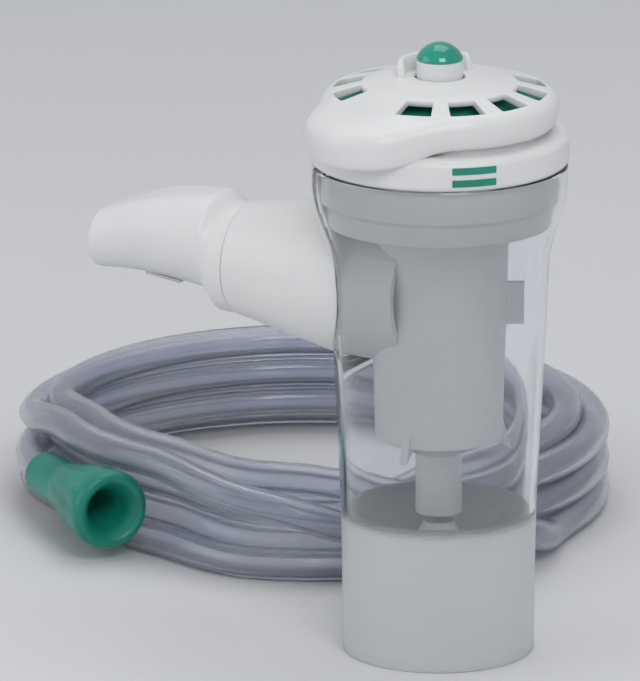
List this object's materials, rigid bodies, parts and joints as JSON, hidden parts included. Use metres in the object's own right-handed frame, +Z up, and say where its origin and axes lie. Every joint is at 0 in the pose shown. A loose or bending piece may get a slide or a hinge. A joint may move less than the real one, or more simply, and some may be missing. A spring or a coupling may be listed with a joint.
{
  "type": "breath-actuated nebulizer",
  "caption": "Breath-actuated nebulizer: clear cup, white chimney and side mouthpiece, turning dial, green push button, and a coil of clear gas tubing with green funnel connectors.",
  "frame": {"origin": "centre of the cup's foot, on the cup's axis, where it stands on the table", "axes": "+Z up along the cup's axis, -X towards the mouthpiece's lip end"},
  "size_m": [0.1712, 0.1811, 0.1316],
  "materials": {
    "clear_plastic": "clear moulded",
    "frosted_plastic": "frosted",
    "white_plastic": "satin",
    "green_rubber": "satin",
    "green_gloss": "gloss",
    "silicone": "satin",
    "clear_vinyl": "soft clear",
    "green_vinyl": "semi-gloss"
  },
  "bodies": {
    "base": {"cup": "clear_plastic", "reservoir": "frosted_plastic", "jet_cover": "white_plastic", "tubing_coil": "clear_vinyl", "tubing_tail": "clear_vinyl", "supply_connector": "green_vinyl", "cup_connector": "green_vinyl"},
    "top": {"housing": "white_plastic", "outlet_arm": "white_plastic", "air_chimney": "white_plastic", "piston_guide": "white_plastic", "index_bars": "green_rubber", "diaphragm": "green_rubber"},
    "dial": {"dial": "white_plastic"},
    "actuator": {"piston": "white_plastic", "baffle": "white_plastic", "piston_washer": "white_plastic", "button_cap": "green_gloss"},
    "mouthpiece": {"mouthpiece": "white_plastic"},
    "flap": {"exhale_flap": "silicone"}
  },
  "joints": [
    {"name": "top_lift", "type": "slide", "parent": "base", "child": "top", "axis": [0, 0, 1], "range_m": [0, 0.082]},
    {"name": "dial_turn", "type": "hinge", "parent": "top", "child": "dial", "pos_m": [0, 0, 0.118], "axis": [0, 0, 1], "range_deg": [0, 60]},
    {"name": "button_press", "type": "slide", "parent": "top", "child": "actuator", "axis": [0, 0, 1], "range_m": [-0.0035, 0], "stiffness_N_per_m": 150, "springref_m": 0.001, "deforming": ["diaphragm"]},
    {"name": "mouthpiece_pull", "type": "slide", "parent": "top", "child": "mouthpiece", "axis": [-1, 0, 0], "range_m": [0, 0.03]},
    {"name": "flap_open", "type": "hinge", "parent": "mouthpiece", "child": "flap", "pos_m": [-0.0603, 0, 0.0728], "axis": [0, -1, 0], "range_deg": [0, 30], "stiffness_Nm_per_rad": 0.002, "springref_deg": -5.73}
  ]
}
